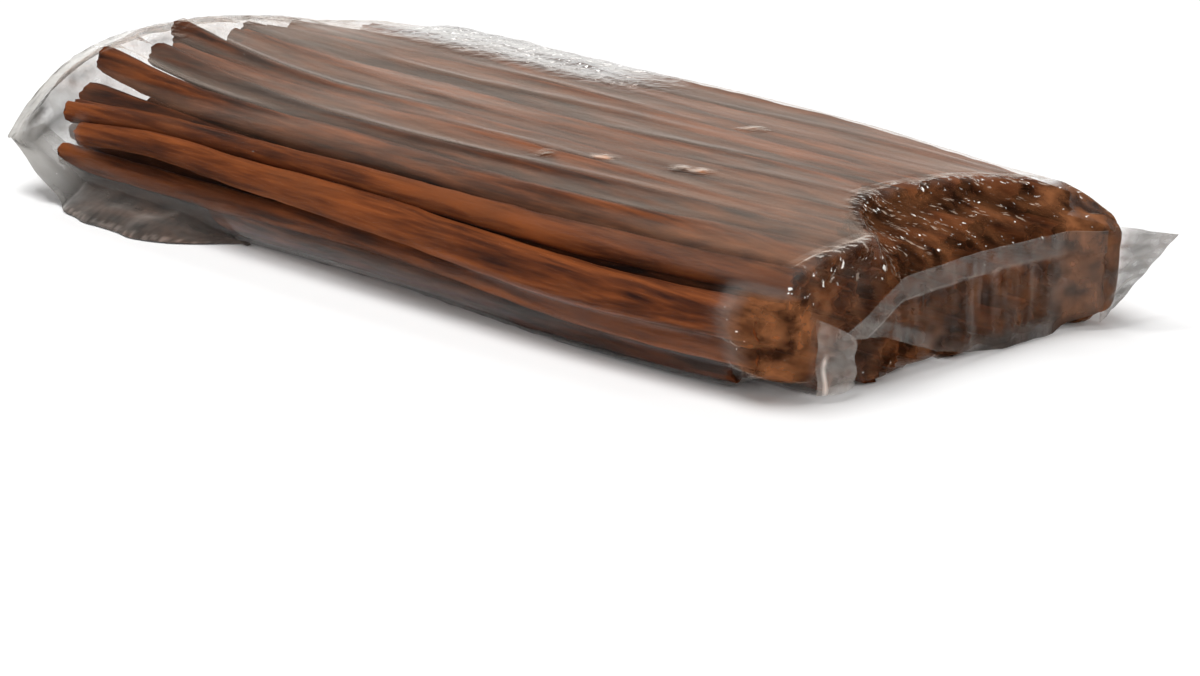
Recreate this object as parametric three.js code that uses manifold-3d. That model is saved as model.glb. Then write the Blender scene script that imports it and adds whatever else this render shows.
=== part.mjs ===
// A clear film pack of long cinnamon sticks, lying on its broad side.
// Millimetres, +Z up. X runs along the sticks towards the folded end, Y from the
// near long side to the far one, and Z = 0 is the surface that the pack lies on.

import * as THREE from 'three';
import { mergeVertices } from 'three/addons/utils/BufferGeometryUtils.js';
import Module from 'manifold-3d';

const wasm = await Module();
wasm.setup();

// ---- driving dimensions -------------------------------------------------------

// The bundle: four layers of sticks, bottom to top. near and far are the Y of the
// first and last stick's centre at the folded end, the bulges are how far the two
// long sides swell out in mid length, and recess is how far the layer's ends stop
// short in the middle of the folded end.
const layers = [
  { count: 12, height: 6.1, near: -70, far: 77, nearBulge: 0, farBulge: -1, recess: 0 },
  { count: 13, height: 19.4, near: -72, far: 82, nearBulge: 7, farBulge: 1, recess: 6 },
  { count: 13, height: 32.8, near: -74, far: 83, nearBulge: 12, farBulge: 3, recess: 15 },
  { count: 12, height: 46.2, near: -63, far: 81, nearBulge: 15, farBulge: 5, recess: 42 },
];
const swell = { length: 270, easeBack: 0.4 }; // the bulge grows over this length from the flap
const recess = { centre: 14, nearReach: 45, farReach: 100 }; // Y range that stops short
const stick = {
  leftEnd: -192, // X of the ends in the sealed tail
  rightEnd: 210, // X of the ends behind the folded flap
  endScatter: 12, // how unevenly the ends line up
  endBias: 0.8, // share of that scatter by which the folded end's sticks stop short
  thin: 10.5, // diameters
  thick: 13.5,
  thickest: 15.5, // the one that runs along the near side
  thickestLayer: 2,
  sideways: 3.2, // how far a stick wanders from a straight line
  upDown: 1.3,
  groove: 0.66, // radius in the seam between a quill's two scrolls, as a share
  sides: 7,
  steps: 13,
  pathPoints: 9,
};
// The tips in the tail part into groups: by stick number, how far each one moves in X, Y
// and Z. The move fades out along the stick, the faster, the higher tipHold is.
const tipHold = 2.5;
const tipMoves = {
  0: [-2, -4, 0],
  12: [-4, -8, -5],
  25: [20, -1, 3],
  26: [6, 4, 0],
  29: [34, 4, 0],
  30: [46, 4, 0],
  31: [30, 4, 0],
  38: [0, -6, -1],
  39: [2, 3, 4.5],
  40: [-2, 3, 2.5],
  41: [6, 3, -1.5],
  42: [-1, -2, 1.5],
  43: [12, 2, 0],
};
const splay = { from: -80, rise: 8.5, centre: -25, reach: 60 }; // the sticks lift apart at the tail
const edge = { nearDrop: 0.16, farDrop: 0.03, reach: 15 }; // it is lower along its long edges

// The film: sink is how far it lies inside the crests of the sticks between them, and
// corner is how round its section is, from 0 for square to 1 for an ellipse. Between
// blendFrom and blendTo it comes off the sticks and passes over their ends.
const film = { sink: 5.0, sinkUnder: 2.0, corner: 0.5, blendFrom: -150, blendTo: -196 };
const slope = { from: 37, to: 48, behind: 4 }; // Z range of the slope over the stick ends
const tail = {
  seam: -233.5, // X of the sealed edge in mid width
  trail: 22, // how far back the sealed edge's two ears lie
  nearEar: -104.5, // Y of the ears' tips
  farEar: 98,
  height: 46, // Z of the sealed edge in mid width
  earHeight: 25,
  thickness: 2.6,
  band: 9, // width of the heat-sealed band
  corner: 0.95,
  creases: 9,
  creaseDepth: 2.4,
};
const bodySteps = { tail: 5, bundle: 19, across: 14, up: 6 };

// Loose film that hangs off the near side, from the tail's ear down to the floor.
const skirt = {
  from: -211, // X range
  to: -98,
  floorFrom: -174, // X where its outer edge meets the floor
  out: -103, // Y of its outer edge
  inner: -78,
  height: 23,
  rim: 1.4, // thickness of its outer edge
  taper: 0.26, // share of its length over which it runs out
};

// The folded end: the film slopes over the stick ends to a flap folded down.
const flap = {
  face: 214, // X of the flap's outer face
  root: 200,
  near: -53.5,
  far: 75.5,
  // Y and Z of the top edge, which dips towards the near corner, and of the bottom edge,
  // which rises to meet it there
  top: [[-53.5, 23], [-40, 28], [-23, 37.5], [16, 39.2], [75.5, 37.5]],
  bottom: [[-53.5, 21], [-32, 17.8], [-5, 7], [12, 3.2], [30, 0], [75.5, 0]],
  hem: 8, // width of the double-layer band along the top edge
  hemProud: 1.2,
  pleats: 9,
  pleatDepth: 1.5,
  acrossSteps: 28,
  upSteps: 5,
};
const farEar = {
  root: { x: 200, y: 68, low: 5, high: 48, halfThickness: 4.2 },
  tip: { x: 232.7, y: 103.7, z: 31, halfHeight: 1, halfThickness: 0.8 },
  wave: 1.5,
};
const nearEar = { back: 198, x: 211, near: -63.5, far: -46.5, low: 3, nearHigh: 30, farHigh: 20.5,
  crown: 4.2 };

// ---- small helpers ----------------------------------------------------------------

const { clamp, lerp, smoothstep } = THREE.MathUtils;

// An even, repeatable scatter between 0 and 1 for the index-th stick.
function spread(index, salt) {
  const value = index * 0.6180339887 + salt * 0.7548776662;
  return value - Math.floor(value);
}

// The height at y of a broken line of [y, z] points.
function heightAt(line, y) {
  const i = Math.max(1, line.findIndex(([end]) => y <= end));
  const [[y0, z0], [y1, z1]] = [line[i - 1], line[i]];
  return lerp(z0, z1, clamp((y - y0) / (y1 - y0), 0, 1));
}

function solidOf(geometry) {
  const bare = geometry.clone();
  bare.deleteAttribute('normal');
  bare.deleteAttribute('uv');
  const merged = mergeVertices(bare, 1e-4);
  return new wasm.Manifold(new wasm.Mesh({
    numProp: 3,
    vertProperties: Float32Array.from(merged.attributes.position.array),
    triVerts: Uint32Array.from(merged.index.array),
  }));
}

// A subdivided box whose points are moved by place(along, across, up), where along
// runs from 0 to 1 and the other two from -1 to 1.
function shapedBox(alongSteps, acrossSteps, upSteps, place) {
  const geometry = new THREE.BoxGeometry(1, 1, 1, alongSteps, acrossSteps, upSteps);
  const position = geometry.attributes.position;
  for (let i = 0; i < position.count; i += 1) {
    const point = place(position.getX(i) + 0.5, 2 * position.getY(i), 2 * position.getZ(i));
    position.setXYZ(i, point.x, point.y, point.z);
  }
  return solidOf(geometry);
}

// ---- the bundle ---------------------------------------------------------------------

// How far the long sides swell out at x: none at the folded end, full before mid length.
function swellAt(x) {
  const share = clamp((stick.rightEnd - x) / swell.length, 0, 1.45);
  return Math.sin(Math.min(share, 1) * Math.PI / 2) - swell.easeBack * Math.max(share - 1, 0);
}

function acrossBundle(layer, share, x) {
  const near = layer.near - layer.nearBulge * swellAt(x);
  const far = layer.far + layer.farBulge * swellAt(x);
  return lerp(near, far, share);
}

// How much lower the bundle lies at y, near its long edges, as a share of the height.
function edgeDrop(y, near, far) {
  return edge.nearDrop * Math.exp(-Math.max(0, y - near) / edge.reach)
    + edge.farDrop * Math.exp(-Math.max(0, far - y) / edge.reach);
}

function tailRise(x, y) {
  const along = clamp((splay.from - x) / (splay.from - stick.leftEnd), 0, 1.1);
  const across = Math.exp(-(((y - splay.centre) / splay.reach) ** 2));
  return splay.rise * along ** 1.6 * across;
}

function foldedEnd(layer, y) {
  const fromCentre = y - recess.centre;
  const reach = fromCentre < 0 ? recess.nearReach : recess.farReach;
  return stick.rightEnd - layer.recess * Math.max(0, 1 - (fromCentre / reach) ** 2);
}

function stickPath(layer, column, index) {
  const share = column / (layer.count - 1);
  const turn = 2 * Math.PI;
  const [tipX, tipY, tipZ] = tipMoves[index] ?? [0, 0, 0];
  const leftEnd = stick.leftEnd + stick.endScatter * (spread(index, 3) - 0.5) + tipX;
  const rightEnd = foldedEnd(layer, acrossBundle(layer, share, stick.rightEnd))
    + stick.endScatter * (spread(index, 4) - stick.endBias);
  const points = [];
  for (let i = 0; i < stick.pathPoints; i += 1) {
    const along = i / (stick.pathPoints - 1);
    const sway = Math.sin(turn * ((0.7 + spread(index, 5)) * along + spread(index, 6)));
    const lift = Math.sin(turn * ((0.9 + spread(index, 7)) * along + spread(index, 8)));
    const x = lerp(leftEnd, rightEnd, along);
    const straightY = acrossBundle(layer, share, x);
    const drop = edgeDrop(straightY, acrossBundle(layer, 0, x), acrossBundle(layer, 1, x));
    const y = straightY + stick.sideways * sway;
    const rise = tailRise(x, y) * layer.height / layers[3].height;
    const z = layer.height * (1 - drop) + rise + stick.upDown * lift;
    const atTip = (1 - along) ** tipHold;
    points.push(new THREE.Vector3(x, y + tipY * atTip, z + tipZ * atTip));
  }
  return new THREE.CatmullRomCurve3(points);
}

// A quill's section: round, with a groove where its two scrolls meet.
function quillSection(diameter, roll) {
  const outline = [];
  for (let i = 0; i < stick.sides; i += 1) {
    const angle = roll + 2 * Math.PI * i / stick.sides;
    const radius = diameter / 2 * (i === 0 ? stick.groove : 1);
    outline.push(new THREE.Vector2(radius * Math.cos(angle), radius * Math.sin(angle)));
  }
  return new THREE.Shape(outline);
}

function stickSolid(layer, column, index) {
  const isThickest = column === 0 && layer === layers[stick.thickestLayer];
  const diameter = isThickest ? stick.thickest : lerp(stick.thin, stick.thick, spread(index, 1));
  const roll = 2 * Math.PI * spread(index, 2);
  return solidOf(new THREE.ExtrudeGeometry(quillSection(diameter, roll), {
    steps: stick.steps,
    curveSegments: 1,
    bevelEnabled: false,
    extrudePath: stickPath(layer, column, index),
  }));
}

function allSticks() {
  const solids = [];
  for (const layer of layers) {
    for (let column = 0; column < layer.count; column += 1) {
      solids.push(stickSolid(layer, column, solids.length));
    }
  }
  return solids;
}

// ---- the film ------------------------------------------------------------------------

// Rounds a square section: a and b run from -1 to 1.
function rounded(a, b, corner) {
  return a * Math.sqrt(1 - corner * b * b / 2);
}

// A point of the film's section at x, sink inside the crests of the sticks.
function bundleSection(x, b, c, sink, sinkUnder) {
  const halfStick = stick.thick / 2;
  const near = acrossBundle(layers[2], 0, x) - halfStick;
  const far = acrossBundle(layers[2], 1, x) + halfStick;
  const crest = layers[3].height + halfStick;
  const y = lerp(near + sink, far - sink, (b + 1) / 2);
  const top = crest * (1 - edgeDrop(y, near, far)) + tailRise(x, y) - sink;
  return { x, y, z: lerp(sinkUnder, top, (c + 1) / 2) };
}

// The slope over the stick ends: above the flap, the higher, the further back.
function slopedEnd(y, z) {
  const height = clamp((z - slope.from) / (slope.to - slope.from), 0, 1);
  return lerp(stick.rightEnd, foldedEnd(layers[3], y), height) - slope.behind;
}

// share runs from the stick ends in the tail (0) to the slope over the other ends (1).
function bundlePoint(share, b, c) {
  const x = lerp(film.blendTo, stick.rightEnd - slope.behind, share);
  const hold = smoothstep(x, film.blendTo, film.blendFrom);
  const point = bundleSection(x, b, c, film.sink * hold, film.sinkUnder * hold);
  point.x = lerp(film.blendTo, slopedEnd(point.y, point.z), share);
  return point;
}

// The sealed edge bows out and up between its two ears: share runs from -1 to 1.
function sealedEdge(share) {
  const bow = (1 - share * share) ** 0.8;
  return {
    x: tail.seam + tail.trail * Math.abs(share) ** 1.5,
    y: lerp(tail.nearEar, tail.farEar, (share + 1) / 2),
    z: lerp(tail.earHeight, tail.height, bow),
  };
}

// share runs from the sealed edge (0) to the stick ends (1).
function tailPoint(share, b, c, across) {
  const mouth = bundleSection(film.blendTo, b, c, 0, 0);
  const seam = sealedEdge(across);
  const bandShare = tail.band / (film.blendTo - tail.seam);
  const open = smoothstep(share, bandShare, 1);
  const crease = Math.sin(Math.PI * tail.creases * across) * Math.sin(Math.PI * share);
  return {
    x: lerp(seam.x, mouth.x, share),
    y: lerp(seam.y, mouth.y, open),
    z: lerp(seam.z + c * tail.thickness / 2, mouth.z, open ** 0.8)
      + tail.creaseDepth * crease * Math.abs(c),
  };
}

// One closed body from the tail's sealed edge to the slope over the stick ends.
function filmBody() {
  const steps = bodySteps.tail + bodySteps.bundle;
  const tailShare = bodySteps.tail / steps;
  return shapedBox(steps, bodySteps.across, bodySteps.up, (along, across, up) => {
    const corner = lerp(tail.corner, film.corner, clamp(along / tailShare, 0, 1));
    const b = rounded(across, up, corner);
    const c = rounded(up, across, corner);
    return along > tailShare
      ? bundlePoint((along - tailShare) / (1 - tailShare), b, c)
      : tailPoint(along / tailShare, b, c, across);
  });
}

// Its outer edge comes down from the ear to the floor and then runs along it.
function looseSkirt() {
  return shapedBox(8, 2, 1, (along, across, up) => {
    const x = lerp(skirt.from, skirt.to, along);
    const aboveFloor = clamp((skirt.floorFrom - x) / (skirt.floorFrom - skirt.from), 0, 1);
    const low = tail.earHeight * aboveFloor;
    const taper = smoothstep(1 - along, -0.02, skirt.taper);
    const inward = (across + 1) / 2;
    const height = skirt.height * taper * (1 - 0.85 * aboveFloor);
    const high = low + lerp(skirt.rim, height, inward ** 0.8);
    const out = lerp(skirt.inner, skirt.out, taper);
    return { x, y: lerp(out, skirt.inner, inward), z: up < 0 ? low : high };
  });
}

// The flap folded down over the ends, with its hem and its upright pleats.
function foldedFlap() {
  return shapedBox(1, flap.acrossSteps, flap.upSteps, (along, across, up) => {
    const y = lerp(flap.near, flap.far, (across + 1) / 2);
    const top = heightAt(flap.top, y);
    const z = lerp(heightAt(flap.bottom, y), top, (up + 1) / 2);
    const pleat = flap.pleatDepth * Math.sin(Math.PI * flap.pleats * across);
    const inHem = z > top - flap.hem - 0.1;
    const face = flap.face + (inHem ? flap.hemProud : pleat);
    return { x: along < 0.5 ? flap.root : face, y, z };
  });
}

// A triangular corner of the bag that stands out past the far end of the flap.
function farCorner() {
  const { root, tip } = farEar;
  return shapedBox(5, 1, 2, (along, across, up) => {
    const low = lerp(root.low, tip.z - tip.halfHeight, along ** 1.5);
    const high = lerp(root.high, tip.z + tip.halfHeight, along ** 1.2);
    const aside = across * lerp(root.halfThickness, tip.halfThickness, along ** 0.6);
    const wave = farEar.wave * Math.sin(2 * Math.PI * along) * up;
    return {
      x: lerp(root.x, tip.x, along) - aside + wave,
      y: lerp(root.y, tip.y, along) + aside,
      z: lerp(low, high, (up + 1) / 2),
    };
  });
}

// The near corner of the bag, folded down flat against the end.
function nearCorner() {
  return shapedBox(2, 2, 3, (along, across, up) => {
    const inward = (across + 1) / 2;
    const high = lerp(nearEar.nearHigh, nearEar.farHigh, inward);
    const crown = nearEar.crown * (1 - 0.3 * across * across);
    return {
      x: lerp(nearEar.back, nearEar.x + crown, along),
      y: lerp(nearEar.near, nearEar.far, inward),
      z: lerp(nearEar.low, high, (up + 1) / 2),
    };
  });
}

// Everything below the surface that the pack lies on.
function underFloor() {
  const size = 700;
  const block = new THREE.BoxGeometry(size, size, size);
  block.translate(0, 0, -size / 2);
  return solidOf(block);
}

// ---- the pack --------------------------------------------------------------------------

function sealedPack() {
  let solid = filmBody();
  for (const piece of [looseSkirt(), foldedFlap(), farCorner(), nearCorner(), ...allSticks()]) {
    solid = solid.add(piece);
  }
  const { vertProperties, triVerts } = solid.subtract(underFloor()).getMesh();
  const geometry = new THREE.BufferGeometry();
  geometry.setAttribute('position', new THREE.BufferAttribute(vertProperties, 3));
  geometry.setIndex(new THREE.BufferAttribute(triVerts, 1));
  geometry.computeVertexNormals();
  const bark = new THREE.MeshStandardMaterial({ color: 0x7b4a2c, roughness: 0.4, metalness: 0 });
  const mesh = new THREE.Mesh(geometry, bark);
  mesh.name = 'sealed_pack';
  return mesh;
}

const pack = new THREE.Group();
pack.add(sealedPack());

export default pack;
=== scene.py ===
import math

import bpy
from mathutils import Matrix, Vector, noise


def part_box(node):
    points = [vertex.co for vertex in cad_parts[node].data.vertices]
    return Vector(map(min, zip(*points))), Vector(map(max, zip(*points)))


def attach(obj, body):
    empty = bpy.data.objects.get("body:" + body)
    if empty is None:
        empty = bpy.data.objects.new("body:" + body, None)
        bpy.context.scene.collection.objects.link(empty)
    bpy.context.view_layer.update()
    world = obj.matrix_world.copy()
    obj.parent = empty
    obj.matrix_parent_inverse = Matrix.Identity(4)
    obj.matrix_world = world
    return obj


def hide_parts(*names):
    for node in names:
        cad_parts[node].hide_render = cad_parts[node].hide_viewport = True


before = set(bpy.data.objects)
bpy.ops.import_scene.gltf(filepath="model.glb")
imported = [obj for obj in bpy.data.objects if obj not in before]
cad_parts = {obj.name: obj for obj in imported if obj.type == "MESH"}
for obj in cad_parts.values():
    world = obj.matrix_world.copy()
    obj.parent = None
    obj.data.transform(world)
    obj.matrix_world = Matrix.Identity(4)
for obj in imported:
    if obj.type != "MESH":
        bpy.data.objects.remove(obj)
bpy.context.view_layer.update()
packLow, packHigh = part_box("sealed_pack")
bpy.ops.object.select_all(action="DESELECT")
scene = bpy.context.scene


# small helpers

def lerp(a, b, share):
    return a + (b - a) * share


def clamp(value, low=0.0, high=1.0):
    return max(low, min(high, value))


def smoothStep(value, low, high):
    share = clamp((value - low) / (high - low))
    return share * share * (3 - 2 * share)


def spread(index, salt):  # an even, repeatable scatter between 0 and 1
    return (index * 0.6180339887 + salt * 0.7548776662) % 1.0


def activate(piece):
    bpy.ops.object.select_all(action="DESELECT")
    piece.select_set(True)
    bpy.context.view_layer.objects.active = piece


def applyModifier(piece, kind, **settings):
    activate(piece)
    modifier = piece.modifiers.new(kind.title(), kind)
    for name, value in settings.items():
        setattr(modifier, name, value)
    bpy.ops.object.modifier_apply(modifier=modifier.name)


def setPoints(mesh, place):  # moves every vertex to place(vertex position)
    for vertex in mesh.vertices:
        vertex.co = place(vertex.co)


def keepAboveFloor(piece, height):
    setPoints(piece.data, lambda point: Vector((point.x, point.y, max(point.z, height))))


def cutEdgesAlong(piece, axis, cuts):  # subdivides the edges that run along one axis
    mesh = piece.data
    bpy.context.tool_settings.mesh_select_mode = (False, True, False)
    bpy.ops.object.mode_set(mode="EDIT")
    bpy.ops.mesh.select_all(action="DESELECT")
    bpy.ops.object.mode_set(mode="OBJECT")
    for edge in mesh.edges:
        first, second = (mesh.vertices[i].co for i in edge.vertices)
        edge.select = abs(first[axis] - second[axis]) > 1e-6
    bpy.ops.object.mode_set(mode="EDIT")
    bpy.ops.mesh.subdivide(number_cuts=cuts)
    bpy.ops.object.mode_set(mode="OBJECT")


def weigh(piece, name, weightAt):  # a vertex group from a function of the vertex
    group = piece.vertex_groups.new(name=name)
    for vertex in piece.data.vertices:
        group.add([vertex.index], clamp(weightAt(vertex.co)), "REPLACE")


def newAttribute(mesh, name, values):
    attribute = mesh.attributes.new(name, "FLOAT", "POINT")
    attribute.data.foreach_set("value", values)


def faceOutwards():  # all faces of the active piece
    bpy.ops.object.mode_set(mode="EDIT")
    bpy.ops.mesh.select_all(action="SELECT")
    bpy.ops.mesh.normals_make_consistent(inside=False)
    bpy.ops.object.mode_set(mode="OBJECT")


def dress(piece, material):
    piece.data.materials.clear()
    piece.data.materials.append(material)
    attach(piece, "root")
    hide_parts("sealed_pack")


# camera

cameraSet = {
    "azimuth": 46.7,
    "elevation": 16.744,
    "distance": 1.4313,
    "lens": 119.4,
    "fromTail": 0.339,  # the point looked at, from the pack's sealed edge
    "fromNearSide": 0.041,
}


def addCamera(settings):
    azimuth = math.radians(settings["azimuth"])
    elevation = math.radians(settings["elevation"])
    target = Vector((packLow.x + settings["fromTail"], packLow.y + settings["fromNearSide"], 0))
    back = Vector((math.sin(azimuth) * math.cos(elevation),
                   -math.cos(azimuth) * math.cos(elevation),
                   math.sin(elevation)))
    bpy.ops.object.camera_add(location=target + back * settings["distance"],
                              rotation=(-back).to_track_quat("-Z", "Y").to_euler())
    camera = bpy.context.object
    camera.name = "camera"
    camera.data.lens = settings["lens"]
    camera.data.sensor_width = 36
    scene.camera = camera


addCamera(cameraSet)
print("camera placed")


# where the sticks lie

bundle = {
    "leftEnd": packLow.x + 0.0415,
    "rightEnd": packHigh.x - 0.0235,
    "endScatter": 0.012,
    "endBias": 0.9,  # at the folded end they scatter mostly inwards
    "tipHold": 2.5,  # how soon a moved tip is back in its row: sideways,
    "tipDroop": 7,  # up or down at the tail,
    "foldedDroop": 6,  # and up or down at the folded end
    "archAt": 0.14,  # share of a stick's length where its arch is highest
    "thin": 0.0105,
    "thick": 0.0135,
    "thickest": 0.0155,  # the nearest stick of the upper layer
    "sideways": 0.0032,  # how far the sticks sway
    "upDown": 0.0013,
    "pathPoints": 9,
    "swellLength": 0.270,  # from the folded end to where the bundle is widest
    "swellBack": 0.4,  # how much it narrows again past there
    "recessCentre": 0.014,  # Y where the ends stop short by the most
    "recessNear": 0.045,  # and how far that reaches to the near side
    "splayFrom": -0.080,  # the tips rise from here to the tail, around one Y
    "splayRise": 0.0085,
    "splayCentre": -0.025,
    "splayReach": 0.060,
    "nearDrop": 0.16,  # share of its height that a layer loses at the long sides
    "farDrop": 0.03,
    "edgeReach": 0.015,
}
# bottom to top: how many sticks, height and Y range of their centres, how far the long
# sides swell out in mid length, how far the ends stop short by the folded end and how far
# that reaches to the far side; level is 1 where thin and thick sticks are level on top
layers = [
    {"name": "sticksBottom", "count": 12, "height": 0.0061, "near": -0.070, "far": 0.077,
     "nearBulge": 0, "farBulge": -0.001, "recess": 0, "farReach": 0.060, "level": 0},
    {"name": "sticksLower", "count": 13, "height": 0.0194, "near": -0.072, "far": 0.082,
     "nearBulge": 0.007, "farBulge": 0.001, "recess": 0.006, "farReach": 0.060, "level": 0},
    {"name": "sticksUpper", "count": 13, "height": 0.0328, "near": -0.074, "far": 0.083,
     "nearBulge": 0.012, "farBulge": 0.003, "recess": 0.015, "farReach": 0.060, "level": 0},
    {"name": "sticksTop", "count": 12, "height": 0.0462, "near": -0.063, "far": 0.081,
     "nearBulge": 0.015, "farBulge": 0.005, "recess": 0.042, "farReach": 0.100, "level": 1},
]
upperLayer, topLayer = layers[2:]


def swellAt(x):
    share = clamp((bundle["rightEnd"] - x) / bundle["swellLength"], 0, 1.45)
    return math.sin(min(share, 1) * math.pi / 2) - bundle["swellBack"] * max(share - 1, 0)


def acrossBundle(layer, share, x):
    near = layer["near"] - layer["nearBulge"] * swellAt(x)
    far = layer["far"] + layer["farBulge"] * swellAt(x)
    return lerp(near, far, share)


def edgeDrop(y, near, far):
    nearSide = bundle["nearDrop"] * math.exp(-max(0, y - near) / bundle["edgeReach"])
    farSide = bundle["farDrop"] * math.exp(-max(0, far - y) / bundle["edgeReach"])
    return nearSide + farSide


def tailRise(x, y):
    along = clamp((bundle["splayFrom"] - x) / (bundle["splayFrom"] - bundle["leftEnd"]), 0, 1.1)
    across = math.exp(-((y - bundle["splayCentre"]) / bundle["splayReach"]) ** 2)
    return bundle["splayRise"] * along ** 1.6 * across


def foldedEnd(layer, y):
    fromCentre = y - bundle["recessCentre"]
    reach = bundle["recessNear"] if fromCentre < 0 else layer["farReach"]
    return bundle["rightEnd"] - layer["recess"] * max(0, 1 - (fromCentre / reach) ** 2)


# the tips at the tail part into groups: by stick number, how far each tip moves along X, Y
# and Z, and how far the stick behind it arches up
tipMoves = {
    0: (-0.002, -0.004, 0, 0),
    12: (-0.003, -0.001, -0.0015, 0.0005),
    13: (-0.014, 0.003, -0.002, -0.0035),
    25: (0.017, -0.001, 0.001, 0.0060),
    26: (-0.001, 0.006, 0.0025, 0.0020),
    27: (0.015, 0, 0, 0),
    28: (0.021, 0, 0, 0),
    29: (0.034, 0.004, 0, 0),
    30: (0.046, 0.004, 0, 0),
    31: (0.030, 0.004, 0, 0),
    38: (0.002, -0.006, -0.0075, 0.0005),
    39: (0.004, 0.003, 0.0040, 0),
    40: (0.003, 0.003, 0.0005, 0),
    41: (0.010, 0.003, -0.0015, 0),
    42: (-0.001, -0.002, 0.0015, 0),
    43: (0.012, 0.002, 0, 0),
    44: (0, 0, -0.002, 0),
    45: (-0.014, 0, -0.0035, 0),
    46: (-0.020, 0, -0.0050, 0),
    47: (-0.016, 0, -0.0050, 0),
    48: (0, 0, -0.0040, 0),
    49: (0, 0, -0.0048, 0),
}
slimTips = {25: 0.26}  # how much thinner a stick is at the tail than in the middle
# at the folded end some sticks reach into the far corner, and the nearest ones stop short:
# by stick number, how far each tip moves along X and Z
foldedTips = {
    0: (-0.015, 0.0012),
    11: (0.002, 0.003),
    12: (-0.004, 0),
    23: (0.004, 0.002),
    24: (0.006, 0.003),
    25: (-0.003, 0),
    35: (0.003, 0.001),
    36: (0.006, 0.0015),
    37: (0.008, 0.0015),
    46: (0.002, -0.001),
    47: (0.006, -0.0025),
    48: (0.010, -0.0035),
    49: (0.019, -0.0045),
}


def stickPath(layer, column, index):
    share = column / (layer["count"] - 1)
    scatter = bundle["endScatter"]
    tipX, tipY, tipZ, arch = tipMoves.get(index, (0, 0, 0, 0))
    leftEnd = bundle["leftEnd"] + scatter * (spread(index, 3) - 0.5) + tipX
    rightEnd = foldedEnd(layer, acrossBundle(layer, share, bundle["rightEnd"]))
    farX, farZ = foldedTips.get(index, (0, 0))
    rightEnd += scatter * (spread(index, 4) - bundle["endBias"]) + farX
    level = layer["level"] * (bundle["thick"] - stickDiameter(layer, column, index)) / 2
    restless = bundle["upDown"] * (1 - 0.7 * layer["level"])
    points = []
    for i in range(bundle["pathPoints"]):
        along = i / (bundle["pathPoints"] - 1)
        sway = math.sin(math.tau * ((0.7 + spread(index, 5)) * along + spread(index, 6)))
        lift = math.sin(math.tau * ((0.9 + spread(index, 7)) * along + spread(index, 8)))
        x = lerp(leftEnd, rightEnd, along)
        straightY = acrossBundle(layer, share, x)
        drop = edgeDrop(straightY, acrossBundle(layer, 0, x), acrossBundle(layer, 1, x))
        y = straightY + bundle["sideways"] * sway
        rise = tailRise(x, y) * layer["height"] / topLayer["height"]
        z = layer["height"] * (1 - drop) + rise + level + restless * lift
        atTip = (1 - along) ** bundle["tipHold"]
        z += tipZ * (1 - along) ** bundle["tipDroop"] + farZ * along ** bundle["foldedDroop"]
        z += arch * along / bundle["archAt"] * math.exp(1 - along / bundle["archAt"])
        points.append(Vector((x, y + tipY * atTip, z)))
    return points


def stickDiameter(layer, column, index):
    if column == 0 and layer is upperLayer:
        return bundle["thickest"]
    return lerp(bundle["thin"], bundle["thick"], spread(index, 1))


# the quills

quill = {
    "length": 0.400,
    "radius": 0.006,
    "bark": 0.0011,  # thickness of the rolled bark
    "girth": 0.90,  # of the round form that the film lies on
    "steps": 56,
    "outlinePoints": 36,
    "lumps": 0.0005,
    "lumpScale": 0.014,
    "grain": 0.00022,
    "grainScale": 0.003,
    "slant": 0.16,  # how far off square the ends are cut
    "fray": 0.008,
    "chips": 0.0014,
    "pastEnds": 1.006,  # the round forms reach past the chipped ends
    "floorGap": 0.0005,
}
# arc and curl are in degrees: how far the outer wall goes round to each side before it
# rolls in, and how far it then rolls; roll is the radius of that inner curl
quillKinds = [
    {"arc": (116, 110), "curl": (250, 215), "roll": (0.46, 0.50), "twist": 55, "taper": 0.04},
    {"arc": (124, 104), "curl": (200, 240), "roll": (0.43, 0.54), "twist": -80, "taper": -0.07},
    {"arc": (138, 88), "curl": (150, 250), "roll": (0.38, 0.60), "twist": 30, "taper": 0.08},
    {"arc": (110, 114), "curl": (260, 230), "roll": (0.50, 0.47), "twist": 110, "taper": 0.03},
    {"spiral": 470, "pitch": 1.50, "twist": -45, "taper": -0.06},
    {"spiral": 430, "pitch": 1.80, "twist": 70, "taper": 0.08},
    {"spiral": 520, "pitch": 1.35, "twist": 20, "taper": -0.05},
]


def curlCentreLine(arc, curl, roll, points):  # half a double scroll, from the back to its core
    arcLength = math.radians(arc)
    curlLength = math.radians(curl) * roll
    place = Vector((0, -1))
    heading = 0.0
    line = [place.copy()]
    step = (arcLength + curlLength) / points
    for i in range(points):
        travelled = (i + 0.5) * step
        turn = step if travelled < arcLength else step / roll
        heading += turn / 2
        place = place + step * Vector((math.cos(heading), math.sin(heading)))
        heading += turn / 2
        line.append(place.copy())
    return line


def barkCentreLine(kind):
    points = quill["outlinePoints"]
    if "spiral" in kind:
        bark = quill["bark"] / quill["radius"]
        line = []
        for i in range(points + 1):
            angle = math.radians(kind["spiral"]) * i / points
            radius = 1 - bark * kind["pitch"] * angle / math.tau
            line.append(radius * Vector((math.cos(angle), math.sin(angle))))
        return line[::-1]
    right = curlCentreLine(kind["arc"][0], kind["curl"][0], kind["roll"][0], points // 2)
    left = curlCentreLine(kind["arc"][1], kind["curl"][1], kind["roll"][1], points // 2)
    return [Vector((-p.x, p.y)) for p in reversed(left)] + right[1:]


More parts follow.
